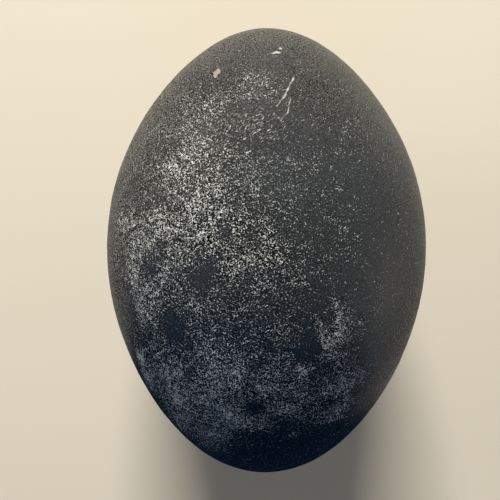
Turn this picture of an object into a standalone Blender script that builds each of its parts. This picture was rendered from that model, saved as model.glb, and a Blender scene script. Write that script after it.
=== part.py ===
"""An emu egg lying on its side: one closed solid with a small flat spot to rest on.

The egg is a turned shape. Its blunt end points along +Y and its narrow end along -Y, and the side
with the chips is up. It lies as a loose egg settles, with the narrow end a little low, so the flat
spot is straight under the centre of mass. The origin is on the floor, under the middle of the box
round the egg.
"""

import math

import bmesh
import bpy
from mathutils import Matrix, Vector

# Driving dimensions, in metres
LENGTH = 0.1295
WIDTH = 0.0895
SPOT_DEPTH = 0.0003
CHIP_DEPTH = 0.00025

# The half width is an ellipse's, times 1 + SWELL s + TAPER s^2 + NARROWING s^3,
# where s runs from -1 at the narrow end to 1 at the blunt end
SWELL = 0.053
TAPER = -0.105
NARROWING = -0.072

# How finely the turned shape is cut into faces
SPANS = 44
STEPS = 80
MERGE_DISTANCE = 0.00001

# Fine steps for sums along the outline
SUM_STEPS = 4000

# The resting place is looked for within this angle of the egg's middle, down to this step
SEARCH_REACH = 0.5
SEARCH_STEP = 1e-9

# Each chip: its name, its place along the egg from the middle and round it from the top line,
# and its corners in metres, across and then up the shell towards the blunt end
CHIPS = [
    {
        "name": "kite_chip",
        "along": 0.0542,
        "round": math.radians(-33.7),
        "corners": [
            (-0.0014, 0.0003),
            (-0.0008, 0.0000),
            (-0.0004, -0.0009),
            (0.0003, -0.0015),
            (0.0007, -0.0013),
            (0.0006, -0.0002),
            (0.0011, 0.0002),
            (0.0008, 0.0008),
            (0.0004, 0.0014),
            (-0.0002, 0.0018),
            (-0.0006, 0.0018),
            (-0.0007, 0.0009),
            (-0.0013, 0.0005),
        ],
    },
    {
        "name": "long_flake",
        "along": 0.0587,
        "round": math.radians(5.2),
        "corners": [
            (-0.0013, -0.0001),
            (-0.0009, -0.0003),
            (0.0000, -0.0001),
            (0.0013, 0.0000),
            (0.0014, 0.0004),
            (0.0009, 0.0009),
            (0.0004, 0.0012),
            (0.0001, 0.0010),
            (-0.0005, 0.0006),
            (-0.0007, 0.0003),
            (-0.0011, 0.0002),
        ],
    },
    {
        "name": "short_flake",
        "along": 0.0597,
        "round": math.radians(10.4),
        "corners": [
            (-0.0007, 0.0001),
            (-0.0001, -0.0002),
            (0.0002, -0.0004),
            (0.0005, 0.0001),
            (0.0004, 0.0008),
            (0.0000, 0.0009),
            (-0.0003, 0.0004),
        ],
    },
]

# A chip's cutter stands this far out of the shell
CUTTER_RISE = 0.002

# The flat spot's cutter is a block this wide and long and this thick
SPOT_BLOCK_SIZE = 0.06
SPOT_BLOCK_THICKNESS = 0.01

SHELL_COLOUR = (0.035, 0.037, 0.038, 1.0)
SHELL_ROUGHNESS = 0.6
SHELL_METALLIC = 0.0


def clear_scene():
    """Remove whatever the scene holds."""
    for obj in list(bpy.data.objects):
        bpy.data.objects.remove(obj, do_unlink=True)


def new_collection(name):
    """A collection of that name in the scene."""
    collection = bpy.data.collections.new(name)
    bpy.context.scene.collection.children.link(collection)
    return collection


def width_share(turn):
    """The half width at an angle along the outline, as a share of the ellipse's own half width."""
    s = math.sin(turn)
    return math.cos(turn) * (1 + SWELL * s + TAPER * s**2 + NARROWING * s**3)


def turns(count):
    """Angles along the outline, from the blunt end at pi / 2 to the narrow end at -pi / 2."""
    return [math.pi * (0.5 - i / count) for i in range(count + 1)]


HALF_LENGTH = LENGTH / 2
HALF_WIDTH = WIDTH / 2 / max(width_share(turn) for turn in turns(SUM_STEPS))


def outline(turn):
    """(radius, height) of the upright egg's outline, with the blunt end up."""
    return HALF_WIDTH * width_share(turn), HALF_LENGTH * math.sin(turn)


def lean(turn):
    """How far the shell's normal leans from square to the axis, up towards the blunt end."""
    step = math.pi / SUM_STEPS
    upper_radius, upper_height = outline(turn + step)
    lower_radius, lower_height = outline(turn - step)
    return math.atan2(lower_radius - upper_radius, upper_height - lower_height)


def centre_of_mass():
    """Height of the upright egg's centre of mass above its middle."""
    volume = 0.0
    moment = 0.0
    points = [outline(turn) for turn in turns(SUM_STEPS)]
    for (radius_a, height_a), (radius_b, height_b) in zip(points, points[1:]):
        slice_volume = (height_a - height_b) * (radius_a**2 + radius_a * radius_b + radius_b**2) / 3
        volume += slice_volume
        moment += slice_volume * (height_a + height_b) / 2
    return moment / volume


def resting_turn():
    """The place on the outline whose normal runs through the centre of mass, by bisection."""
    target = centre_of_mass()
    low, high = -SEARCH_REACH, SEARCH_REACH
    while high - low > SEARCH_STEP:
        middle = (low + high) / 2
        radius, height = outline(middle)
        if height - radius * math.tan(lean(middle)) < target:
            low = middle
        else:
            high = middle
    return low


CONTACT_TURN = resting_turn()
REST_TILT = -lean(CONTACT_TURN)


def lay_down():
    """The matrix that takes the upright egg to its place on the floor."""
    radius, height = outline(CONTACT_TURN)
    rise = radius * math.cos(REST_TILT) - height * math.sin(REST_TILT) - SPOT_DEPTH
    ends = [outline(turn) for turn in turns(SUM_STEPS)]
    furthest = max(h * math.cos(REST_TILT) + r * math.sin(REST_TILT) for r, h in ends)
    nearest = min(h * math.cos(REST_TILT) - r * math.sin(REST_TILT) for r, h in ends)
    middle = -(furthest + nearest) / 2
    on_its_side = Matrix.Rotation(-math.pi / 2, 4, "X")
    tilted = Matrix.Rotation(REST_TILT, 4, "X")
    return Matrix.Translation((0, middle, rise)) @ tilted @ on_its_side


def add_object(name, mesh, collection, matrix):
    """An object for the mesh, in the collection and at the matrix."""
    obj = bpy.data.objects.new(name, mesh)
    collection.objects.link(obj)
    obj.matrix_world = matrix
    return obj


def shell_material():
    """Near-black green eggshell, dull with a faint gloss."""
    material = bpy.data.materials.new("eggshell")
    material.use_nodes = True
    shader = material.node_tree.nodes["Principled BSDF"]
    shader.inputs["Base Color"].default_value = SHELL_COLOUR
    shader.inputs["Roughness"].default_value = SHELL_ROUGHNESS
    shader.inputs["Metallic"].default_value = SHELL_METALLIC
    return material


def make_egg(collection, matrix):
    """The outline, turned all the way round by a Screw modifier."""
    mesh = bpy.data.meshes.new("emu_egg")
    outline_edges = bmesh.new()
    corners = []
    for turn in turns(SPANS):
        radius, height = outline(turn)
        corners.append(outline_edges.verts.new((radius, 0, height)))
    corners[0].co.x = 0
    corners[-1].co.x = 0
    for upper, lower in zip(corners, corners[1:]):
        outline_edges.edges.new((upper, lower))
    outline_edges.to_mesh(mesh)
    outline_edges.free()
    mesh.materials.append(shell_material())
    egg = add_object("emu_egg", mesh, collection, matrix)
    screw = egg.modifiers.new("turn", "SCREW")
    screw.axis = "Z"
    screw.steps = STEPS
    screw.render_steps = STEPS
    screw.use_merge_vertices = True
    screw.merge_threshold = MERGE_DISTANCE
    screw.use_smooth_shade = True
    return egg


def hide_cutter(cutter):
    """Show a cutter as wires only, and never in a render."""
    cutter.hide_render = True
    cutter.display_type = "WIRE"


def make_spot_cutter(collection):
    """A block whose top face is the floor, which shaves the flat spot off the shell."""
    block = bmesh.new()
    bmesh.ops.create_cube(block, size=1)
    bmesh.ops.scale(block, vec=(SPOT_BLOCK_SIZE, SPOT_BLOCK_SIZE, SPOT_BLOCK_THICKNESS), verts=block.verts)
    mesh = bpy.data.meshes.new("spot_cutter")
    block.to_mesh(mesh)
    block.free()
    contact = lay_down() @ shell_point(outline(CONTACT_TURN), math.pi)
    place = Matrix.Translation((0, contact.y, -SPOT_BLOCK_THICKNESS / 2))
    cutter = add_object("spot_cutter", mesh, collection, place)
    hide_cutter(cutter)
    return cutter


def shell_point(place, angle):
    """A point of the upright egg at (radius, height), at an angle round it from its front line."""
    radius, height = place
    return Vector((radius * math.sin(angle), -radius * math.cos(angle), height))


def chip_frame(along, angle):
    """A matrix at a place on the upright shell: X across, Y up the shell and Z out of it."""
    turn = math.asin(along / HALF_LENGTH)
    across = Vector((math.cos(angle), math.sin(angle), 0))
    outward = Vector((math.sin(angle), -math.cos(angle), 0))
    slope = lean(turn)
    normal = outward * math.cos(slope) + Vector((0, 0, 1)) * math.sin(slope)
    uphill = normal.cross(across)
    turned = Matrix((across, uphill, normal)).transposed().to_4x4()
    return Matrix.Translation(shell_point(outline(turn), angle)) @ turned


def make_chip_cutter(chip, collection, matrix):
    """A thin plug with the chip's outline, sunk into the shell by the chip's depth."""
    plug = bmesh.new()
    floor = [plug.verts.new((x, y, -CHIP_DEPTH)) for x, y in chip["corners"]]
    face = plug.faces.new(floor)
    raised = bmesh.ops.extrude_face_region(plug, geom=[face])
    moved = [part for part in raised["geom"] if isinstance(part, bmesh.types.BMVert)]
    bmesh.ops.translate(plug, vec=(0, 0, CHIP_DEPTH + CUTTER_RISE), verts=moved)
    bmesh.ops.recalc_face_normals(plug, faces=plug.faces)
    mesh = bpy.data.meshes.new(chip["name"])
    plug.to_mesh(mesh)
    plug.free()
    cutter = add_object(chip["name"], mesh, collection, matrix @ chip_frame(chip["along"], chip["round"]))
    hide_cutter(cutter)
    return cutter


def cut(obj, cutter):
    """Take the cutter's volume out of the object."""
    boolean = obj.modifiers.new(cutter.name, "BOOLEAN")
    boolean.operation = "DIFFERENCE"
    boolean.solver = "EXACT"
    boolean.object = cutter


def main():
    """Build the egg and cut its flat spot and its chips."""
    clear_scene()
    parts = new_collection("emu_egg")
    cutters = new_collection("cutters")
    matrix = lay_down()
    egg = make_egg(parts, matrix)
    cut(egg, make_spot_cutter(cutters))
    for chip in CHIPS:
        cut(egg, make_chip_cutter(chip, cutters, matrix))


main()
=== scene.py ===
"""The look of an emu egg that lies on its side: a near-black grainy shell with pale worn specks.

The shell is one dense mesh on the egg's own outline, with its chips and scratches sunk into it.
Its finish is one procedural material. The finish is laid out in millimetres in the egg's own
frame: X across, Y along the egg to its blunt end, and Z out of the side that is up.
"""

import math

import bmesh
import bpy
import numpy as np
from mathutils import Matrix, Vector, noise

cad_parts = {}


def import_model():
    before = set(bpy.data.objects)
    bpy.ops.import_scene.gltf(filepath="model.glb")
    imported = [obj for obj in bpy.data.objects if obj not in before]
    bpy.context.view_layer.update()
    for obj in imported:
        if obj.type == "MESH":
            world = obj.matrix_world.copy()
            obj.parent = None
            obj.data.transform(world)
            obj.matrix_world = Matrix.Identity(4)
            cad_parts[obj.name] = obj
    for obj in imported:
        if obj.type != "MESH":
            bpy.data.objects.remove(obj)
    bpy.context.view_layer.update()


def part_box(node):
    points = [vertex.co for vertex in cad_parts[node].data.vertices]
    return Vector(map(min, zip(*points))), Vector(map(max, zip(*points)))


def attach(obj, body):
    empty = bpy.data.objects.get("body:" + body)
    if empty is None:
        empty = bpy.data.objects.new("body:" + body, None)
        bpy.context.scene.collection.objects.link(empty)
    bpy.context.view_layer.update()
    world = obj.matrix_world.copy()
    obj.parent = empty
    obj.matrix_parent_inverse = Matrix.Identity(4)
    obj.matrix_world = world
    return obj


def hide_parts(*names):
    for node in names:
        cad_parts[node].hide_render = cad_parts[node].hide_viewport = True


MM = 0.001

# The egg's outline: its half width is an ellipse's, times 1 + SWELL s + TAPER s^2 + NARROWING s^3,
# where s runs from -1 at the narrow end to 1 at the blunt end
LENGTH_TO_WIDTH = 129.5 / 89.5
SWELL = 0.053
TAPER = -0.105
NARROWING = -0.072

# Steps for sums along the outline and for its slope. The egg rests within CONTACT_REACH of its
# middle, as an angle, and its resting spot is shaved off by SPOT_DEPTH in mm.
OUTLINE_STEPS = 4000
TURN_STEP = 1e-4
CONTACT_REACH = 0.5
SPOT_DEPTH = 0.3

# The shell's mesh starts as a cube with so many rows of faces along each side. Edges that lie
# within MARK_REACH in mm of a mark are cut again, finer.
CUBE_SIZE = 2
CUBE_ROWS = 120
MARK_CUTS = 5
MARK_REACH = 0.9

# The bake layout: one tile for each side of the cube, with a margin as a share of the tile
ATLAS_COLUMNS = 3
ATLAS_ROWS = 2
ATLAS_MARGIN = 0.01
TILE_CORNERS = [(0, 0), (1, 0), (1, 1), (0, 1)]

# Relief of the shell in mm: wavelength and height of each layer
SWELLS = [(14.0, 0.10), (5.0, 0.045), (2.4, 0.03)]

# Chips, where the dark outer layer has flaked off: place along the egg in mm and round it in
# degrees from the top line, then corners in mm, across and up the shell
CHIP_DEPTH = 0.25
CHIPS = [
    (
        54.2,
        -33.7,
        [
            (-1.4, 0.3),
            (-0.8, 0.0),
            (-0.4, -0.9),
            (0.3, -1.5),
            (0.7, -1.3),
            (0.6, -0.2),
            (1.1, 0.2),
            (0.8, 0.8),
            (0.4, 1.4),
            (-0.2, 1.8),
            (-0.6, 1.8),
            (-0.7, 0.9),
            (-1.3, 0.5),
        ],
    ),
    (
        58.7,
        5.2,
        [
            (-1.3, -0.1),
            (-0.9, -0.3),
            (0.0, -0.1),
            (1.3, 0.0),
            (1.4, 0.4),
            (0.9, 0.9),
            (0.4, 1.2),
            (0.1, 1.0),
            (-0.5, 0.6),
            (-0.7, 0.3),
            (-1.1, 0.2),
        ],
    ),
    (
        59.7,
        10.4,
        [
            (-0.7, 0.1),
            (-0.1, -0.2),
            (0.2, -0.4),
            (0.5, 0.1),
            (0.4, 0.8),
            (0.0, 0.9),
            (-0.3, 0.4),
        ],
    ),
]

# No chip reaches as far as this from its place, in mm
CHIP_REACH = 5.0

# Scratches: points along each, as mm along the egg, degrees round it and half width in mm
SCRATCH_DEPTH = 0.08
SCRATCHES = [
    [
        (53.2, 13.6, 0.26),
        (52.9, 13.0, 0.24),
        (52.3, 11.6, 0.09),
        (51.5, 10.2, 0.10),
        (50.9, 9.2, 0.27),
        (50.3, 8.2, 0.10),
        (49.8, 7.6, 0.30),
        (49.3, 6.8, 0.26),
        (48.7, 5.4, 0.09),
        (47.9, 3.9, 0.05),
        (47.4, 3.0, 0.19),
    ],
    [
        (49.2, 10.2, 0.06),
        (48.4, 9.4, 0.15),
        (47.6, 8.6, 0.09),
        (46.8, 8.2, 0.14),
        (46.1, 7.7, 0.21),
        (45.5, 6.2, 0.04),
        (44.9, 5.0, 0.07),
        (44.4, 4.4, 0.16),
    ],
]

# Single larger specks: mm along the egg, degrees round it and half width in mm
NICKS = [
    (50.6, -31.4, 0.14),
    (52.4, 14.9, 0.14),
    (47.9, -22.7, 0.30),
    (49.8, -34.8, 0.20),
    (53.7, -12.7, 0.17),
    (54.5, 19.4, 0.17),
    (50.6, 15.9, 0.15),
    (37.3, 28.3, 0.17),
    (37.4, 18.7, 0.17),
    (34.5, 10.0, 0.20),
    (29.1, 17.2, 0.17),
    (29.7, 22.9, 0.16),
    (22.3, 46.9, 0.22),
    (19.7, 46.1, 0.17),
    (21.0, 23.0, 0.18),
    (19.4, 27.3, 0.16),
    (4.5, 19.7, 0.18),
    (-0.2, 34.1, 0.24),
    (4.7, 18.8, 0.16),
    (3.6, 20.4, 0.18),
    (2.4, 21.9, 0.20),
    (1.0, 20.0, 0.18),
    (0.2, 23.8, 0.16),
    (-1.4, 21.2, 0.20),
    (-2.6, 16.2, 0.20),
    (-4.8, 18.6, 0.18),
]

# Edges of the marks in mm: half the width over which a chip sets in, how far inside a scratch it is
# at its deepest, how far noise moves the edges, and the wavelength of that noise
MARK_EDGE = 0.07
SCRATCH_EDGE = 0.18
MARK_RAGGEDNESS = 0.09
MARK_GRAIN = 0.5

# Width of the painted shadow along the lower edge of each chip, in mm
CHIP_SHADOW_WIDTH = 0.4

# Worn patches of the shell: mm along the egg, degrees round it, half sizes in mm across and up the
# shell, turn in degrees, and how much pale speck they add. One that takes away is a bare spot.
WORN_PATCHES = [
    # Broad grounds down the left and over the narrow end
    (22, -25, 19, 19, -15, 0.08),
    (14, -42, 12, 15, -10, 0.09),
    (-20, -24, 13, 16, -35, 0.108),
    (-20, 12, 14, 8, -20, 0.08),
    (-26, -38, 9, 12, 0, 0.08),
    (38, -17, 13, 12, -25, 0.03),
    # Shoulder of the blunt end
    (53.5, -8, 4, 2.5, 0, 0.05),
    (44, -8, 12, 6, 0, 0.055),
    (51, -9, 4, 3.5, 0, 0.09),
    (45.9, -25.4, 3, 2.5, 0, 0.05),
    (50, 3, 2, 2, 0, 0.05),
    (46, -26, 4, 3, -25, 0.06),
    (46, -40, 1.5, 6, 30, 0.07),
    (40, -46, 3.5, 2, -15, 0.06),
    (41, -27, 4, 3, -15, 0.07),
    (42, -1, 3.5, 1.5, 0, 0.05),
    (42, -38, 2.5, 2, 0, 0.06),
    (43, 19, 2.5, 2, 0, 0.03),
    # Below the shoulder
    (32, -7, 2.5, 2.5, 30, 0.05),
    (35, 9, 2, 2, -40, 0.04),
    (37.5, -31.6, 3, 2, -5, 0.18),
    (33, -36, 4.5, 2.5, 25, 0.10),
    (32, -28, 3, 3, 20, 0.08),
    (30, -19, 3.5, 2.5, 0, 0.14),
    (30, -1, 7, 6, 0, 0.035),
    # Left of the middle
    (26, -25, 2.5, 2.5, 30, 0.14),
    (23, -40, 4, 2, 10, 0.11),
    (20, -35, 4.5, 2, 10, 0.13),
    (25, -17, 4.5, 2, 5, 0.15),
    (20, -20, 3, 2.5, 10, 0.12),
    (17.5, -17, 2.5, 2, 0, 0.05),
    (16, -42, 3, 2.5, 20, 0.10),
    (9, -48, 2.5, 5, 0, 0.19),
    (14, -26, 2.5, 3, 10, 0.06),
    (8, -27.5, 2.5, 2.5, 0, 0.05),
    (1.5, -35, 2.5, 2.5, 0, 0.05),
    (10.5, -33, 1, 2.5, -15, 0.12),
    (4, -40, 4.5, 3, 25, 0.06),
    (-1, -41, 2, 3, -30, 0.04),
    (-1, -45, 1.5, 4.5, 0, 0.16),
    (4, -23, 2, 3, -5, 0.12),
    (4, -17, 3, 3, 0, 0.03),
    (-3.5, -25.5, 2.5, 2.5, 0, 0.02),
    (-6, -18.5, 3, 4, -35, 0.07),
    (-4, -39, 1.3, 4.5, 35, 0.10),
    # Middle
    (22, -10, 1.5, 2, 5, 0.12),
    (4.4, -9, 2.5, 2.5, 0, 0.05),
    (-2, -1.5, 2.5, 2.5, 0, 0.04),
    (4, 1, 8, 9, 0, 0.03),
    (21, -1, 1.5, 3, 35, 0.16),
    (16, -5, 4, 2.5, 0, 0.14),
    (16, 2, 1.5, 3, 0, 0.13),
    (13, -11, 2.5, 2, 45, 0.10),
    (14, -13, 3, 2, 0, 0.05),
    (10, -2, 2.5, 2, 0, 0.075),
    (11, 8, 1.5, 1.5, 40, 0.12),
    (-2, 5.5, 3, 2.5, 0, 0.08),
    # Streak right of the middle
    (4.6, 19.3, 1.6, 1.2, 0, 0.13),
    (0.5, 20.8, 1.2, 3.2, 0, 0.26),
    (3.5, 22.5, 1.3, 2, 0, 0.05),
    (0, 24.5, 1.2, 2.5, 0, 0.10),
    (-3.5, 20.2, 1.3, 2, 0, 0.18),
    (-0.6, 15, 2.4, 1, -40, 0.18),
    (-5.5, 17.9, 1.2, 3.5, 14, 0.28),
    (-6, 24, 3.5, 3, -20, 0.09),
    (-1.5, 29, 1, 2, 20, 0.20),
    # Low on the left
    (-10, -17.5, 3, 2.5, 0, 0.06),
    (-17, -35, 5, 2.2, 30, 0.14),
    (-13.5, -10, 2.2, 6, -5, 0.15),
    (-18, -20, 3.5, 6, -25, 0.09),
    (-26, -36, 1.8, 3, -20, 0.37),
    (-16.5, -34.5, 2.5, 3, -20, 0.03),
    (-13, -40, 3, 3, 0, 0.05),
    (-28, -14, 3, 4, -10, 0.30),
    (-35, -22, 5, 3, 25, 0.13),
    (-40, -30, 5, 5, 25, 0.08),
    (-29, -27, 4, 3, 0, 0.06),
    # Low in the middle and on the right
    (-11, 23.5, 2.5, 2, 0, 0.06),
    (-25, 8, 2, 2, 0, 0.06),
    (-16, -1, 4, 4, 0, 0.11),
    (-18, 5, 3, 2.5, 0, 0.02),
    (-12, 9.8, 1.7, 1.7, 20, 0.40),
    (-25, 9, 2.5, 3, 0, 0.08),
    (-29, -5, 4, 3, 0, 0.18),
    (-24, 4, 3, 2, 0, 0.16),
    (-19, 21, 3, 1.8, 30, 0.12),
    (-24.5, 30, 2.3, 3.8, 10, 0.14),
    (-17, 33, 3, 3, 0, 0.06),
    (-19, 26, 3, 2.5, 0, 0.10),
    (-28, 27, 3, 3, 0, 0.09),
    (-27.5, 17, 3, 3, 0, 0.07),
    (-34, 11, 2, 1.5, 0, 0.10),
    (-10, 5, 3, 2.5, 0, 0.06),
    (-10.5, 14, 2.5, 2, 0, 0.07),
    (-12, 23, 3, 2.5, 0, 0.06),
    (-16.5, 28, 4.5, 3, -35, 0.12),
    (-31, 26, 5, 0.6, -8, 0.22),
    # Small gatherings on the right
    (46, 36, 5, 7, -10, 0.012),
    (38, 36, 4, 5, 0, 0.008),
    (5, 35.5, 2.5, 5, 0, 0.012),
    (-4, 23, 1.5, 2.5, 0, 0.06),
    (15, 7, 2, 2.5, 0, 0.045),
    (14.5, 15, 1.5, 2, 0, 0.03),
    (30, 22.5, 1, 1, 0, 0.05),
    (28.5, 17, 2.2, 0.9, 35, 0.035),
    (23.5, 20.5, 1, 3, 30, 0.04),
    (21, 23.3, 1.2, 0.9, 0, 0.045),
    (19, 27, 1, 0.9, 0, 0.045),
    (18.5, 11, 2, 1.3, -20, 0.06),
    (17.5, 21.5, 3.2, 1, -35, 0.04),
    (12.5, 28.5, 0.9, 0.9, 0, 0.035),
    (8.3, 26.5, 1.3, 1.2, 0, 0.045),
    (7.5, 34.3, 1, 1.4, 0, 0.07),
    (8, 18, 2.5, 2, 0, 0.01),
    (21.5, 46.5, 0.9, 2, -15, 0.06),
    (0.8, 32.8, 1, 1, 0, 0.08),
    # Rim on the left
    (19, -54, 5, 2.5, 10, 0.19),
    (27, -53, 3, 3, 0, 0.05),
    (-18, -51, 0.8, 4, -35, 0.30),
    (8, -60, 2, 8, 0, 0.07),
    (-16.5, -51.5, 1.6, 2.6, -40, 0.45),
    (-23, -51, 2.5, 6, -30, 0.16),
    (-36, -42, 3, 6, -30, 0.10),
    (25, -61, 2.5, 6, 0, 0.05),
    (40, -57, 2.5, 6, 0, 0.03),
    # Bare spots
    (62, 5, 18, 9, 0, -0.02),
    (27, -54, 6, 3, 25, -0.08),
    (-41, 12, 9, 7, 0, -0.012),
    (12, -39, 2.5, 3.5, 40, -0.07),
    (22, -15, 1.5, 1.5, 5, -0.12),
    (12.5, -18, 4.5, 2.5, 25, -0.08),
    (10.5, -25, 4, 2, 20, -0.05),
    (15.5, -35.5, 2.5, 2.3, 0, -0.09),
    (8, -22, 2.5, 4, -25, -0.06),
    (-3, -30, 3, 4.8, 25, -0.11),
    (25, -42, 4.5, 2, 20, -0.10),
    (19, -43, 2, 1, 10, -0.08),
    (10, -40, 2.5, 2, 30, -0.07),
    (-5, 11, 2.5, 4.5, 10, -0.05),
    (-15, -27, 1, 2, -40, -0.10),
    (-23, -5, 2, 2, 0, -0.10),
    (4.5, 13, 2, 1.5, 0, -0.03),
    (22, 7, 2.5, 2, 0, -0.02),
    (3, 26.5, 1.2, 2, 0, -0.03),
]
WEAR_BASE = 0.010

# Patches where the grain stands out more, laid out in the same way
PEBBLED_PATCHES = [
    (50, -9, 7, 5, 20, 1.0),
    (46, 1, 9, 7, 0, 0.5),
    (44, -22, 8, 6, 0, 0.35),
]

# Patches where the grain is drawn out into short strokes, laid out in the same way
STROKE_PATCHES = [
    (43.5, -4, 13, 6, 0, 1.0),
]

# Patches where the specks are fainter, laid out in the same way
FADED_PATCHES = [
    (32, 1, 9, 8, 0, 1.0),
]

# Patches where a thin grey film lies over the ground between the specks, laid out in the same way
FILM_PATCHES = [
    (-27, -17, 5, 4, -30, 0.5),
    (-34, -24, 5, 5, 0, 0.2),
    (-8, -17, 4, 4, 0, 0.4),
    (18, -65, 4, 14, 0, 0.5),
    (38, -62, 4, 8, 0, 0.3),
    (15, 63, 4, 14, 0, 0.25),
    (31, 0, 8, 7, 0, 0.2),
    (46, 2, 9, 4, 0, 0.2),
    (42, -27, 4, 4, 0, 0.2),
    (-14, 35, 4, 5, 0, 0.6),
    (-18, 21, 8, 4, 0, 0.18),
    (-30, 8, 8, 4, 0, 0.1),
]

# The patches' edges wander this far, over this wavelength, both in mm
WANDER_REACH = 1.0
WANDER_SPAN = 4.0

# Worn patches of the side that lies down: the most speck they add, the wavelength of their noise in
# mm, the noise over which they set in, and the heights in mm over which that side begins
HIDDEN_WEAR = 0.16
HIDDEN_SPAN = 22.0
HIDDEN_NOISE = (0.0, 0.5)
HIDDEN_HEIGHTS = (-2.0, -16.0)

# Seeds of the noise on the mesh, and how far each seed shifts it
WANDER_SEEDS = (1, 2, 3)
MARK_SEED = 4
SWELL_SEED = 5
HIDDEN_SEED = 9
SEED_SHIFT = (17.3, 9.1, 5.7)

# A distance in mm that is longer than any on the egg, and one that counts as none
FAR_OFF = 1e9
NO_DISTANCE = 1e-9

# Colours of the shell's layers. The cool ones are partly the shell's own tone and partly painted blue
# reflected light.
DARK_SHELL = (0.034, 0.037, 0.041, 1.0)
WARM_SHELL = (0.0342, 0.0343, 0.0338, 1.0)
COOL_SHELL_AND_BLUE_LIGHT = (0.0085, 0.0205, 0.0400, 1.0)
PALE_SPECK = (0.56, 0.57, 0.565, 1.0)
COOL_SPECK_AND_BLUE_LIGHT = (0.60, 0.675, 0.78, 1.0)
PALE_FILM = (0.60, 0.675, 0.78, 1.0)
COOL_FILM_AND_BLUE_LIGHT = (0.30, 0.55, 1.00, 1.0)
CHIP_FLOOR = (0.22, 0.195, 0.166, 1.0)
CHIP_PALE = (0.325, 0.315, 0.295, 1.0)
SCRATCH_FLOOR = (0.40, 0.395, 0.375, 1.0)

# The shell's own surface has no shine. The gloss is a coat over it.
SHELL_SPECULAR = 0.0
SHELL_ROUGHNESS = 0.5
SPECK_ROUGHNESS = 0.8
COAT_ROUGHNESS = 0.5

# Sockets of a Mix node that mixes colours: its factor, its two colours and its result
MIX_FACTOR = 0
MIX_FIRST = 6
MIX_SECOND = 7
MIX_RESULT = 2

# Noise in the finish: waves to the millimetre, and finer layers of it
GRAIN_NOISE = (3.0, 1.0)
STROKE_NOISE = (3.8, 1.0)
FINE_NOISE = (4.2, 2.0)
WANDER_NOISE = (0.45, 1.0)
PATCHY_NOISE = (0.22, 4.0)
GATHERED_NOISE = (0.45, 2.0)
PALENESS_NOISE = (0.9, 1.0)
BROAD_NOISE = (0.07, 3.0)
NOISE_MIDDLE = 0.5

# Zones of the egg: the two places in mm between which each one sets in. The left rim's places are
# measured to the left.
UPPER_ALONG = (20.0, 45.0)
UPPER_RIGHT_ACROSS = (0.0, 18.0)
FLANK_HEIGHTS = (24.0, 8.0)
LEFT_RIM_ACROSS = (28.0, 40.0)

# The rim is measured outward from the middle line, and from RIM_TURN on up the egg as well
RIM_OUTWARD = (26.0, 38.0)
RIM_TURN = 20.0
RIM_SLANT = 0.8

# The grain is calmer on the right, from a little below the middle up, and at the blunt end
CALM_ACROSS = (4.0, 24.0)
CALM_ALONG = (-12.0, 8.0)
CALM_RIGHT = 0.5
CALM_END_ALONG = (50.0, 58.0)
CALM_END = 0.2

# The colour turns darker and bluer towards the narrow end, partly the shell's own cool tone and
# partly painted blue reflected light, and warm towards the blunt end. Broad noise moves both
# changes along the egg, the cool one by a share. A slant is how much further towards the narrow
# end a change lies for each mm to the right, and COOL_LEFT_RIM does the same at that rim.
DRIFT_REACH = 30.0
COOL_ALONG = (25.0, -22.0)
COOL_SLANT = 0.35
COOL_LEFT_RIM = 14.0
COOL_DRIFT = 0.5
WARM_ALONG = (25.0, 47.0)
WARM_SLANT = -0.4

# The grain: how far it wanders in mm. Its strokes all run one way: squeezing places along that way
# by a share draws the noise out, and the field of strokes brings them in over a range.
GRAIN_WANDER = 0.9
STROKE_RUN = (0.72, 0.49, -0.49)
STROKE_SQUEEZE = 0.66
STROKE_RANGE = (0.15, 0.8)

# The wear: how patchy noise leaves it, what small gatherings add, the least of it anywhere, and
# how fast its specks count as dense
PATCHY_BASE = 0.2
PATCHY_GAIN = 1.6
GATHERED_RANGE = (0.55, 0.68)
GATHERED_WEAR = 0.02
LEAST_WEAR = 0.008
DENSE_GAIN = 5.0

# What noise has to pass for specks to cover so much of the shell: (cover, level)
SPECK_LEVELS = [
    (0.0, 0.75),
    (0.006, 0.70),
    (0.018, 0.65),
    (0.045, 0.60),
    (0.10, 0.55),
    (0.18, 0.50),
    (0.33, 0.445),
    (0.49, 0.40),
    (0.65, 0.35),
]

# The specks: how softly they set in above that level, how strong they are where they are thin and
# what density adds, and how much fainter the upper ones and those in faded patches are
SPECK_SPAN = 0.08
STROKE_SPAN = 0.08
PALENESS_RANGE = (0.33, 0.66)
FAINTEST_SPECK = 0.25
THIN_SPECKS = 0.72
DENSE_SPECKS = 0.31
UPPER_FADING = 0.2
PATCH_FADING = 0.4

# The dark ground: how much the grain shades it, how much the pebbled patches are lightened as a
# painted highlight, what share of it is left in the gaps between dense specks as painted shade,
# and how much of the film shows
GROUND_STIR = 2.6
PEBBLE_STIR = 0.6
RIM_STIR = 2.5
PEBBLE_PAINTED_HIGHLIGHT = 0.25
GAP_SHADE_SHARE = 0.10
COOL_GAP_SHADE_SHARE = 0.25
FILM_SHARE = 0.045

# The painted shadow under a chip darkens the colour by this share. Chips turn pale over a stretch along
# the egg, in mm.
CHIP_SHADOW_SHARE = 0.6
CHIP_PALE_ALONG = (54.0, 57.5)

# The gloss: where it sets in along the egg, how much nearer the narrow end it starts on the right
# and at the left rim, its strength in each zone, and how much grain and gaps break it up
GLOSS_ALONG = (-16.0, 30.0)
GLOSS_RIGHT_FROM = 5.0
GLOSS_RIGHT = 2.0
GLOSS_LEFT_RIM = 40.0
GLOSS = 0.76
PEBBLE_GLOSS = 0.25
UPPER_RIGHT_GLOSS = 0.26
FLANK_GLOSS = 0.3
GLOSS_STIR = 1.6
RIM_GLOSS_STIR = 4.2
GAP_DULLING = 0.8

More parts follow.
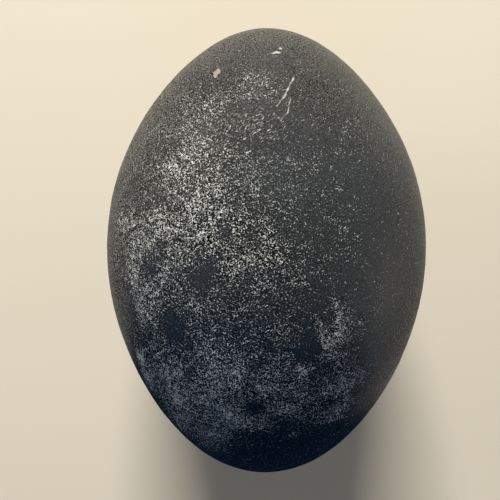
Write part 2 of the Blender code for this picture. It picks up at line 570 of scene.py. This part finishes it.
# The fine relief: its strength and height, and how much of it is fine noise, lies on plain shell and
# is added by the pebbled patches
RELIEF_STRENGTH = 1.0
RELIEF_HEIGHT = 0.3 * MM
FINE_RELIEF = 0.7
PLAIN_RELIEF = 0.7
PEBBLE_RELIEF = 1.2

# The camera: its place in the egg's own frame in mm, at the distance that fits the egg's width, and
# where its view starts in metres
CAMERA_PLACE = (-4.5, 60.8, 178.9)
CAMERA_PITCH = math.radians(17.6)
CAMERA_LENS = 46.8
CAMERA_SENSOR = 36.0
CAMERA_NEAR = 0.01

# The floor, in metres, and the distances over which it fades into the surround
FLOOR_SIZE = 3.0
FLOOR_FADE = (0.2, 0.6)
FLOOR_COLOUR = (0.80, 0.73, 0.605, 1.0)
FLOOR_ROUGHNESS = 0.9

# The surround: its colour, how much it lights the egg, and how bright it looks itself
SURROUND_COLOUR = (0.90, 0.83, 0.69, 1.0)
SURROUND_LIGHT = 0.05
SURROUND_BRIGHTNESS = 0.9

# Lights: name, place from the middle of the egg and size in metres, power in watts, colour, and
# whether the gloss shows it. The key light stands beyond the blunt end.
KEY_REACH = 1.4
KEY_ELEVATION = math.radians(21)
KEY_PLACE = (-0.112, KEY_REACH * math.cos(KEY_ELEVATION), KEY_REACH * math.sin(KEY_ELEVATION))
LIGHTS = [
    ("key", KEY_PLACE, 0.52, 46.0, (1.0, 0.97, 0.90), False),
    ("glint", (-0.05, 1.2, 0.04), 0.15, 1.1, (1.0, 0.98, 0.94), True),
    ("side", (1.1, -0.35, 0.12), 0.5, 1.9, (1.0, 0.96, 0.9), True),
    ("left", (-1.1, 0.45, 0.35), 0.5, 2.9, (1.0, 0.98, 0.94), True),
    ("fill", (-0.05, -0.9, 0.16), 0.4, 2.0, (0.46, 0.66, 1.0), True),
]


def width_share(turn):
    """The half width at an angle along the outline, as a share of the ellipse's own half width."""
    s = np.sin(turn)
    return np.cos(turn) * (1 + SWELL * s + TAPER * s**2 + NARROWING * s**3)


def smooth(low, high, value):
    """0 at low and before it, 1 at high and past it, and a smooth rise between."""
    share = np.clip((value - low) / (high - low), 0, 1)
    return share * share * (3 - 2 * share)


def centre_of_mass(heights, radii):
    """The height of a turned shape's centre of mass, from its outline."""
    slices = (radii[1:] ** 2 + radii[:-1] ** 2) * np.diff(heights)
    return (slices * (heights[1:] + heights[:-1]) / 2).sum() / slices.sum()


class Egg:
    """The egg's size, tilt and place, worked out from the frame's box, and its smooth shell in mm."""

    def __init__(self, lowest, highest):
        turns = np.linspace(-math.pi / 2, math.pi / 2, OUTLINE_STEPS)
        width = (highest.x - lowest.x) / MM
        self.half_length = width * LENGTH_TO_WIDTH / 2
        self.half_width = width / 2 / width_share(turns).max()
        heights = self.half_length * np.sin(turns)
        radii = self.half_width * width_share(turns)
        slopes = np.gradient(radii, heights)
        # It rests where the shell's normal runs through its centre of mass
        off_balance = np.abs(heights + radii * slopes - centre_of_mass(heights, radii))
        contact = np.where(np.abs(turns) < CONTACT_REACH, off_balance, width).argmin()
        self.tilt = math.atan(slopes[contact])
        cos, sin = math.cos(self.tilt), math.sin(self.tilt)
        rise = radii[contact] * cos - heights[contact] * sin - SPOT_DEPTH
        ends = (heights * cos + radii * sin).max() + (heights * cos - radii * sin).min()
        self.centre = Vector((0, -ends / 2, rise)) * MM
        self.matrix = Matrix.Translation(self.centre) @ Matrix.Rotation(self.tilt, 4, "X")

    def frame(self, along, angle):
        """Points of the smooth shell, and its directions across, up the shell and out of it."""
        turn = np.arcsin(np.clip(along / self.half_length, -1, 1))
        low = np.clip(turn - TURN_STEP, -math.pi / 2, None)
        high = np.clip(turn + TURN_STEP, None, math.pi / 2)
        lean = np.arctan2(
            self.half_width * (width_share(low) - width_share(high)),
            self.half_length * (np.sin(high) - np.sin(low)),
        )
        radius = self.half_width * width_share(turn)
        flat = 0 * radius
        point = np.stack([radius * np.sin(angle), along + flat, radius * np.cos(angle)], -1)
        across = np.stack([np.cos(angle), flat, -np.sin(angle)], -1)
        level = np.cos(lean)
        outward = np.stack([np.sin(angle) * level, np.sin(lean), np.cos(angle) * level], -1)
        return point, across, np.cross(outward, across), outward


def rounded_cube():
    """A cube cut into even faces, each side with its own tile in the bake layout."""
    cube = bmesh.new()
    bmesh.ops.create_cube(cube, size=CUBE_SIZE)
    layout = cube.loops.layers.uv.new("OFBake")
    span = 1 - 2 * ATLAS_MARGIN
    for index, face in enumerate(cube.faces):
        column, row = index % ATLAS_COLUMNS, index // ATLAS_COLUMNS
        for loop, (u, v) in zip(face.loops, TILE_CORNERS):
            left, low = column + ATLAS_MARGIN + u * span, row + ATLAS_MARGIN + v * span
            loop[layout].uv = (left / ATLAS_COLUMNS, low / ATLAS_ROWS)
    bmesh.ops.subdivide_edges(cube, edges=cube.edges[:], cuts=CUBE_ROWS - 1, use_grid_fill=True)
    return cube


def places_on_egg(egg, corners):
    """Place along the egg and angle round it of each corner of the cube, once it is rounded."""
    directions = np.tan(corners * math.pi / (2 * CUBE_SIZE))
    directions /= np.linalg.norm(directions, axis=1)[:, None]
    return egg.half_length * directions[:, 1], np.arctan2(directions[:, 0], directions[:, 2])


def inside_outline(points, corners):
    """How far flat points lie inside an outline of corners: negative outside it."""
    nearest = np.full(len(points), FAR_OFF)
    crossings = np.zeros(len(points), bool)
    for (ax, ay), (bx, by) in zip(corners, corners[1:] + corners[:1]):
        edge = np.array([bx - ax, by - ay])
        offset = points - (ax, ay)
        share = np.clip(offset @ edge / (edge @ edge), 0, 1)
        nearest = np.minimum(nearest, np.linalg.norm(offset - share[:, None] * edge, axis=1))
        straddles = (ay > points[:, 1]) != (by > points[:, 1])
        level = ax + (points[:, 1] - ay) * (bx - ax) / (by - ay or NO_DISTANCE)
        crossings ^= straddles & (points[:, 0] < level)
    return np.where(crossings, nearest, -nearest)


def inside_chips(egg, points):
    """How far points in mm lie inside the nearest chip."""
    deepest = np.full(len(points), -FAR_OFF)
    for along, degrees, corners in CHIPS:
        place, across, uphill, _ = egg.frame(along, math.radians(degrees))
        offset = points - place
        flat = np.stack([offset @ across, offset @ uphill], 1)
        near = np.linalg.norm(offset, axis=1) < CHIP_REACH
        deepest = np.where(near, np.maximum(deepest, inside_outline(flat, corners)), deepest)
    return deepest


def inside_scratches(egg, points):
    """How far points in mm lie inside the nearest scratch or nick."""
    deepest = np.full(len(points), -FAR_OFF)
    for scratch in SCRATCHES:
        bends = [(egg.frame(along, math.radians(degrees))[0], half) for along, degrees, half in scratch]
        for (start, start_half), (end, end_half) in zip(bends, bends[1:]):
            run = end - start
            share = np.clip((points - start) @ run / (run @ run), 0, 1)
            gap = np.linalg.norm(points - start - share[:, None] * run, axis=1)
            deepest = np.maximum(deepest, start_half + share * (end_half - start_half) - gap)
    for along, degrees, half in NICKS:
        place = egg.frame(along, math.radians(degrees))[0]
        deepest = np.maximum(deepest, half - np.linalg.norm(points - place, axis=1))
    return deepest


def waves(points, wavelength, seed):
    """Smooth noise from about -1 to 1 at each point."""
    shift = Vector([seed * step for step in SEED_SHIFT])
    return np.array([noise.noise(Vector(point) / wavelength + shift) for point in points.tolist()])


def wandered(points):
    """The points moved about by noise, so that the patches' edges wander."""
    moves = [waves(points, WANDER_SPAN, seed) for seed in WANDER_SEEDS]
    return points + np.stack(moves, 1) * WANDER_REACH


def cover_of(egg, points, patches, base=0.0):
    """How much of a finish lies at each point: a base, and patches that fade outward."""
    cover = np.full(len(points), base)
    for along, degrees, half_across, half_along, turn, strength in patches:
        place, across, uphill, outward = egg.frame(along, math.radians(degrees))
        offset = points - place
        turned = math.radians(turn)
        u = offset @ (across * math.cos(turned) + uphill * math.sin(turned)) / half_across
        v = offset @ (uphill * math.cos(turned) - across * math.sin(turned)) / half_along
        w = offset @ outward / (half_across + half_along)
        cover += strength * np.exp(-(u**2 + v**2 + w**2))
    return cover


def hidden_wear(points):
    """Worn patches on the side that lies down."""
    below = smooth(*HIDDEN_HEIGHTS, points[:, 2])
    return HIDDEN_WEAR * below * smooth(*HIDDEN_NOISE, waves(points, HIDDEN_SPAN, HIDDEN_SEED))


def marks_at(egg, points, uphill):
    """How far each point is into a chip, into a scratch, and into the painted shadow under a chip."""
    ragged = MARK_RAGGEDNESS * waves(points, MARK_GRAIN, MARK_SEED)
    chip = smooth(-MARK_EDGE, MARK_EDGE, inside_chips(egg, points) + ragged)
    scratch = smooth(-MARK_EDGE, SCRATCH_EDGE, inside_scratches(egg, points) + ragged) * (1 - chip)
    # Painted shadow: the strip just below each chip, which the colour darkens
    above = points + uphill * CHIP_SHADOW_WIDTH
    edge = smooth(-MARK_EDGE, MARK_EDGE, inside_chips(egg, above)) * (1 - chip)
    return chip, scratch, edge


def shell_mesh(egg):
    """The cube as a mesh, cut finer round the marks."""
    cube = rounded_cube()
    corners = np.array([vertex.co for vertex in cube.verts])
    points = egg.frame(*places_on_egg(egg, corners))[0]
    near_mark = np.maximum(inside_chips(egg, points), inside_scratches(egg, points)) > -MARK_REACH
    edges = [edge for edge in cube.edges if all(near_mark[end.index] for end in edge.verts)]
    bmesh.ops.subdivide_edges(cube, edges=edges, cuts=MARK_CUTS, use_grid_fill=True)
    mesh = bpy.data.meshes.new("shell")
    cube.to_mesh(mesh)
    cube.free()
    return mesh


def keep_field(mesh, name, values):
    """Keep a number for each corner of the mesh, for its finish to read."""
    field = mesh.attributes.new(name, "FLOAT", "POINT")
    field.data.foreach_set("value", values.astype(np.float32))


def make_shell(egg):
    """The shell: the cube laid on the egg, with its marks and swells, and the fields of its finish."""
    mesh = shell_mesh(egg)
    corners = np.empty(len(mesh.vertices) * 3)
    mesh.vertices.foreach_get("co", corners)
    points, _, uphill, outward = egg.frame(*places_on_egg(egg, corners.reshape(-1, 3)))
    chip, scratch, edge = marks_at(egg, points, uphill)
    height = -CHIP_DEPTH * chip - SCRATCH_DEPTH * scratch
    for layer, (wavelength, swell) in enumerate(SWELLS):
        height += swell * waves(points, wavelength, SWELL_SEED + layer)
    shaped = (points + outward * height[:, None]) * MM
    placed = shaped @ np.array(egg.matrix.to_3x3()).T + np.array(egg.matrix.translation)
    placed[:, 2] = np.maximum(placed[:, 2], 0)
    mesh.vertices.foreach_set("co", placed.ravel())
    moved = wandered(points)
    fields = {
        "chip": chip,
        "scratch": scratch,
        # The painted shadow under the chips
        "edge": edge,
        "wear": cover_of(egg, moved, WORN_PATCHES, WEAR_BASE) + hidden_wear(points),
        "pebbles": cover_of(egg, moved, PEBBLED_PATCHES),
        "film": cover_of(egg, moved, FILM_PATCHES),
        "strokes": cover_of(egg, moved, STROKE_PATCHES),
        "faded": cover_of(egg, moved, FADED_PATCHES),
    }
    for name, values in fields.items():
        keep_field(mesh, name, values)
    mesh.shade_smooth()
    mesh.update()
    shell = bpy.data.objects.new("shell", mesh)
    bpy.context.scene.collection.objects.link(shell)
    return shell


class Socket:
    """A node's output. Python's operators on it add Math nodes."""

    def __init__(self, graph, output):
        self.graph = graph
        self.output = output

    def __add__(self, other):
        return self.graph.maths("ADD", self, other)

    def __radd__(self, other):
        return self.graph.maths("ADD", other, self)

    def __sub__(self, other):
        return self.graph.maths("SUBTRACT", self, other)

    def __rsub__(self, other):
        return self.graph.maths("SUBTRACT", other, self)

    def __mul__(self, other):
        return self.graph.maths("MULTIPLY", self, other)

    def __rmul__(self, other):
        return self.graph.maths("MULTIPLY", other, self)

    def __truediv__(self, other):
        return self.graph.maths("DIVIDE", self, other)

    def __rtruediv__(self, other):
        return self.graph.maths("DIVIDE", other, self)

    def __neg__(self):
        return self.graph.maths("MULTIPLY", self, -1.0)

    def __abs__(self):
        return self.graph.maths("ABSOLUTE", self)

    def at_least(self, lowest):
        """This value, or the lowest one where that is higher."""
        return self.graph.maths("MAXIMUM", self, lowest)

    def clamp(self):
        """This value held between 0 and 1."""
        return self.graph.maths("ADD", self, 0.0, clamp=True)


class Graph:
    """The nodes of a material or a surround, all added by one method."""

    def __init__(self, owner, shader):
        owner.use_nodes = True
        self.tree = owner.node_tree
        self.shader = self.tree.nodes[shader]

    def add(self, kind, settings=None, inputs=None, output=0):
        """Add a node, set it up, then give its sockets their values or links."""
        node = self.tree.nodes.new(kind)
        for name, setting in (settings or {}).items():
            if name == "stops":
                self.set_stops(node.color_ramp, setting)
            else:
                setattr(node, name, setting)
        for name, value in (inputs or {}).items():
            self.feed(node.inputs[name], value)
        return Socket(self, node.outputs[output])

    def feed(self, target, value):
        """Link a socket to another node's output, or set its value."""
        if isinstance(value, Socket):
            self.tree.links.new(value.output, target)
        else:
            target.default_value = value

    def feed_shader(self, name, value):
        """Link one of the shader's own sockets, or set its value."""
        self.feed(self.shader.inputs[name], value)

    def set_stops(self, ramp, stops):
        """Give a ramp its stops, as (position, grey) pairs."""
        while len(ramp.elements) < len(stops):
            ramp.elements.new(1.0)
        for element, (position, grey) in zip(ramp.elements, stops):
            element.position = position
            element.color = (grey, grey, grey, 1.0)

    def maths(self, operation, *values, clamp=False):
        """A Math node on numbers and outputs."""
        settings = {"operation": operation, "use_clamp": clamp}
        return self.add("ShaderNodeMath", settings, dict(enumerate(values)))

    def vectors(self, operation, *values, output="Vector"):
        """A Vector Math node on vectors."""
        settings = {"operation": operation}
        return self.add("ShaderNodeVectorMath", settings, dict(enumerate(values)), output)

    def scale(self, vector, factor):
        """A colour or vector times a number."""
        return self.add("ShaderNodeVectorMath", {"operation": "SCALE"}, {0: vector, "Scale": factor})

    def mix(self, factor, first, second):
        """A colour between two colours."""
        settings = {"data_type": "RGBA", "clamp_factor": True}
        inputs = {MIX_FACTOR: factor, MIX_FIRST: first, MIX_SECOND: second}
        return self.add("ShaderNodeMix", settings, inputs, MIX_RESULT)

    def noise(self, where, scale, detail, output="Fac"):
        """Noise with so many waves to the millimetre."""
        inputs = {"Vector": where, "Scale": scale, "Detail": detail}
        return self.add("ShaderNodeTexNoise", {}, inputs, output)

    def rise(self, value, low, high):
        """0 at low and before it, 1 at high and past it, and a smooth rise between."""
        settings = {"interpolation_type": "SMOOTHSTEP"}
        inputs = {"Value": value, "From Min": low, "From Max": high}
        return self.add("ShaderNodeMapRange", settings, inputs)

    def field(self, name):
        """A number kept at the corners of the mesh."""
        return self.add("ShaderNodeAttribute", {"attribute_name": name}, {}, "Fac")

    def place(self):
        """The place of each point in its object's own frame."""
        return self.add("ShaderNodeTexCoord", {}, {}, "Object")

    def axis(self, vector, name):
        """One of a vector's X, Y and Z."""
        return self.add("ShaderNodeSeparateXYZ", {}, {"Vector": vector}, name)


class Surface:
    """What the shell's colour, gloss and relief share: the egg's zones, the grain and the specks."""

    def __init__(self, graph, egg):
        self.graph = graph
        inputs = {
            "Vector": graph.place(),
            "Location": egg.centre,
            "Rotation": (egg.tilt, 0, 0),
            "Scale": (MM, MM, MM),
        }
        self.on_egg = graph.add("ShaderNodeMapping", {"vector_type": "TEXTURE"}, inputs)
        # The painted shadow under the chips
        self.edge = graph.field("edge")
        self.pebbles = graph.field("pebbles")
        self.set_zones()
        self.set_grain()
        self.set_specks()

    def set_zones(self):
        """How far each point lies into the zones that the finish tells apart."""
        graph = self.graph
        self.along = graph.axis(self.on_egg, "Y")
        self.across = graph.axis(self.on_egg, "X")
        self.flank = graph.rise(graph.axis(self.on_egg, "Z"), *FLANK_HEIGHTS)
        self.upper = graph.rise(self.along, *UPPER_ALONG)
        self.upper_right = self.upper * graph.rise(self.across, *UPPER_RIGHT_ACROSS)
        self.upper_right = self.upper_right * (1 - self.flank)
        self.left_rim = graph.rise(-self.across, *LEFT_RIM_ACROSS)
        outward = abs(self.across) + (self.along - RIM_TURN).at_least(0.0) * RIM_SLANT
        self.rim = graph.rise(outward, *RIM_OUTWARD)
        self.drift = (graph.noise(self.on_egg, *BROAD_NOISE) - NOISE_MIDDLE) * DRIFT_REACH
        # The cool zone: darker and bluer towards the narrow end, partly the shell's own tone and partly
        # painted blue reflected light
        cool_along = self.along + self.across.at_least(0.0) * COOL_SLANT + self.left_rim * COOL_LEFT_RIM
        self.cool_tint_and_blue_light = graph.rise(cool_along + self.drift * COOL_DRIFT, *COOL_ALONG)

    def set_grain(self):
        """The grain from 0 to 1, and its stir, which is none where the grain is at its middle."""
        graph = self.graph
        wander = graph.noise(self.on_egg, *WANDER_NOISE, "Color")
        wander = graph.vectors("SUBTRACT", wander, (NOISE_MIDDLE, NOISE_MIDDLE, NOISE_MIDDLE))
        wandering = graph.vectors("ADD", self.on_egg, graph.scale(wander, GRAIN_WANDER))
        run = graph.vectors("DOT_PRODUCT", wandering, STROKE_RUN, output="Value")
        squeezed = graph.vectors("SUBTRACT", wandering, graph.scale(STROKE_RUN, run * STROKE_SQUEEZE))
        round_grain = graph.noise(wandering, *GRAIN_NOISE)
        stroke_grain = graph.noise(squeezed, *STROKE_NOISE)
        self.stroked = graph.rise(graph.field("strokes"), *STROKE_RANGE)
        self.grain = round_grain + self.stroked * (stroke_grain - round_grain)
        calm_right = graph.rise(self.across, *CALM_ACROSS) * graph.rise(self.along, *CALM_ALONG)
        self.calm = calm_right * CALM_RIGHT + graph.rise(self.along, *CALM_END_ALONG) * CALM_END
        self.stir = (self.grain - NOISE_MIDDLE) * (1 - self.calm)

    def set_specks(self):
        """The pale specks, and the gaps between them where they are dense."""
        graph = self.graph
        patchy = graph.noise(self.on_egg, *PATCHY_NOISE) * PATCHY_GAIN + PATCHY_BASE
        gathered = graph.rise(graph.noise(self.on_egg, *GATHERED_NOISE), *GATHERED_RANGE)
        wear = (graph.field("wear") * patchy + gathered * GATHERED_WEAR).at_least(LEAST_WEAR)
        level = graph.add("ShaderNodeValToRGB", {"stops": SPECK_LEVELS}, {"Fac": wear})
        passed = ((self.grain - level) / (SPECK_SPAN + self.stroked * STROKE_SPAN)).clamp()
        paleness = graph.rise(graph.noise(self.on_egg, *PALENESS_NOISE), *PALENESS_RANGE)
        dense = (wear * DENSE_GAIN).clamp()
        strength = FAINTEST_SPECK + paleness * (1 - FAINTEST_SPECK)
        strength = strength * (THIN_SPECKS + dense * DENSE_SPECKS)
        fading = (1 - self.upper * UPPER_FADING) * (1 - graph.field("faded") * PATCH_FADING)
        self.specks = passed * strength * fading
        # Gaps between dense specks, where the ground is darkened as painted shade
        self.gaps = dense * (1 - self.upper)


def dark_ground(graph, surface):
    """The shell's colour: near-black, warm in places, darker and bluer towards the narrow end partly as
    painted blue reflected light, with grain, film, painted shade in the gaps and a painted highlight on
    the pebbled patches.
    """
    warm_along = surface.along + surface.across * WARM_SLANT + surface.drift
    plain = graph.mix(graph.rise(warm_along, *WARM_ALONG), DARK_SHELL, WARM_SHELL)
    # Towards the narrow end: the shell's own cool tone together with painted blue reflected light
    plain = graph.mix(surface.cool_tint_and_blue_light, plain, COOL_SHELL_AND_BLUE_LIGHT)
    grain_shade = GROUND_STIR + surface.pebbles * PEBBLE_STIR + surface.rim * RIM_STIR
    # Painted highlight: the ground of the pebbled patches is lightened
    grained = graph.scale(plain, 1 + surface.pebbles * PEBBLE_PAINTED_HIGHLIGHT + surface.stir * grain_shade)
    # Painted shade: the ground in the gaps between dense specks is darkened
    gap_shade = GAP_SHADE_SHARE + surface.cool_tint_and_blue_light * COOL_GAP_SHADE_SHARE
    gap_shaded = graph.mix(surface.gaps, grained, graph.scale(grained, gap_shade))
    # The film turns bluer towards the narrow end, partly as painted blue reflected light
    film = graph.mix(surface.cool_tint_and_blue_light, PALE_FILM, COOL_FILM_AND_BLUE_LIGHT)
    return graph.mix(graph.field("film") * FILM_SHARE, gap_shaded, film)


def shell_colour(graph, surface):
    """The dark ground with its specks, scratches and chips, and the painted shadows under the chips."""
    # The specks turn bluer towards the narrow end: partly their own tone, partly painted blue reflected
    # light
    speck_colour = graph.mix(surface.cool_tint_and_blue_light, PALE_SPECK, COOL_SPECK_AND_BLUE_LIGHT)
    specked = graph.mix(surface.specks, dark_ground(graph, surface), speck_colour)
    # Painted shadow: the strip just below each chip is darkened
    chip_shadowed = graph.scale(specked, 1 - surface.edge * CHIP_SHADOW_SHARE)
    scratched = graph.mix(graph.field("scratch"), chip_shadowed, SCRATCH_FLOOR)
    chip_floor = graph.mix(graph.rise(surface.along, *CHIP_PALE_ALONG), CHIP_FLOOR, CHIP_PALE)
    return graph.mix(graph.field("chip"), scratched, chip_floor)


def shell_gloss(graph, surface):
    """A broken gloss on the upper half and the sides, which leaves out specks and the painted shadows
    under chips.
    """
    at_right = (surface.across - GLOSS_RIGHT_FROM).at_least(0.0) * GLOSS_RIGHT
    at_left = surface.left_rim * GLOSS_LEFT_RIM
    glossy = graph.rise(surface.along + at_right + at_left + surface.drift, *GLOSS_ALONG)
    strength = GLOSS + surface.pebbles * PEBBLE_GLOSS
    strength = strength + surface.upper_right * UPPER_RIGHT_GLOSS + surface.flank * FLANK_GLOSS
    broken = 1 + surface.stir * (GLOSS_STIR + surface.rim * RIM_GLOSS_STIR)
    # The gloss is dulled in the gaps and left out on specks and on the painted shadows under chips
    bare = (1 - surface.gaps * GAP_DULLING) * (1 - surface.specks) * (1 - surface.edge)
    return glossy * glossy * strength * broken * bare


def shell_relief(graph, surface):
    """The grain as a bump, lower where the grain is calm."""
    rough = surface.grain + graph.noise(surface.on_egg, *FINE_NOISE) * FINE_RELIEF
    height = rough * (PLAIN_RELIEF + surface.pebbles * PEBBLE_RELIEF) * (1 - surface.calm)
    inputs = {"Height": height, "Strength": RELIEF_STRENGTH, "Distance": RELIEF_HEIGHT}
    return graph.add("ShaderNodeBump", {}, inputs, "Normal")


def shell_finish(egg):
    """Near-black eggshell with grain, pale worn specks, chips and scratches."""
    material = bpy.data.materials.new("eggshell")
    graph = Graph(material, "Principled BSDF")
    surface = Surface(graph, egg)
    graph.feed_shader("Base Color", shell_colour(graph, surface))
    graph.feed_shader("Roughness", SHELL_ROUGHNESS + surface.specks * (SPECK_ROUGHNESS - SHELL_ROUGHNESS))
    graph.feed_shader("Specular IOR Level", SHELL_SPECULAR)
    graph.feed_shader("Coat Weight", shell_gloss(graph, surface))
    graph.feed_shader("Coat Roughness", COAT_ROUGHNESS)
    graph.feed_shader("Normal", shell_relief(graph, surface))
    return material


def floor_finish():
    """Plain pale card that fades into the surround away from the egg."""
    material = bpy.data.materials.new("pale_card")
    graph = Graph(material, "Principled BSDF")
    distance = graph.vectors("LENGTH", graph.place(), output="Value")
    graph.feed_shader("Base Color", FLOOR_COLOUR)
    graph.feed_shader("Roughness", FLOOR_ROUGHNESS)
    graph.feed_shader("Alpha", 1 - graph.rise(distance, *FLOOR_FADE))
    return material


def add_floor():
    """A wide pale floor under the egg."""
    bpy.ops.mesh.primitive_plane_add(size=FLOOR_SIZE)
    floor = bpy.context.object
    floor.name = "floor"
    floor.data.materials.append(floor_finish())


def add_surround():
    """A surround that looks pale to the camera and lights the egg faintly."""
    world = bpy.data.worlds.new("surround")
    graph = Graph(world, "Background")
    seen = graph.add("ShaderNodeLightPath", {}, {}, "Is Camera Ray")
    inputs = {"Value": seen, "To Min": SURROUND_LIGHT, "To Max": SURROUND_BRIGHTNESS}
    graph.feed_shader("Color", SURROUND_COLOUR)
    graph.feed_shader("Strength", graph.add("ShaderNodeMapRange", {}, inputs))
    bpy.context.scene.world = world


def add_light(egg, name, place, size, power, colour, in_gloss):
    """A soft square light that faces the egg."""
    lamp = bpy.data.lights.new(name, "AREA")
    lamp.size = size
    lamp.energy = power
    lamp.color = colour
    light = bpy.data.objects.new(name, lamp)
    light.location = egg.centre + Vector(place)
    light.rotation_euler = (-Vector(place)).to_track_quat("-Z", "Y").to_euler()
    light.visible_camera = False
    light.visible_glossy = in_gloss
    bpy.context.scene.collection.objects.link(light)


def add_camera(egg):
    """The camera looks down on the egg from beyond its blunt end, past the upright by its pitch."""
    camera = bpy.data.objects.new("camera", bpy.data.cameras.new("camera"))
    camera.data.lens = CAMERA_LENS
    camera.data.sensor_width = CAMERA_SENSOR
    camera.data.clip_start = CAMERA_NEAR
    looks_along = Vector((0, -math.sin(CAMERA_PITCH), -math.cos(CAMERA_PITCH)))
    up = Vector((0, math.cos(CAMERA_PITCH), -math.sin(CAMERA_PITCH)))
    turned = Matrix(((1, 0, 0), up, -looks_along)).transposed().to_4x4()
    camera.matrix_world = egg.matrix @ Matrix.Translation(Vector(CAMERA_PLACE) * MM) @ turned
    bpy.context.scene.collection.objects.link(camera)
    bpy.context.scene.camera = camera


def main():
    """Build the scene round the frame."""
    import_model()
    egg = Egg(*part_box("emu_egg"))
    shell = make_shell(egg)
    shell.data.materials.append(shell_finish(egg))
    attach(shell, "root")
    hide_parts("emu_egg")
    add_floor()
    add_surround()
    for light in LIGHTS:
        add_light(egg, *light)
    add_camera(egg)
    bpy.context.scene.view_settings.view_transform = "Standard"


main()
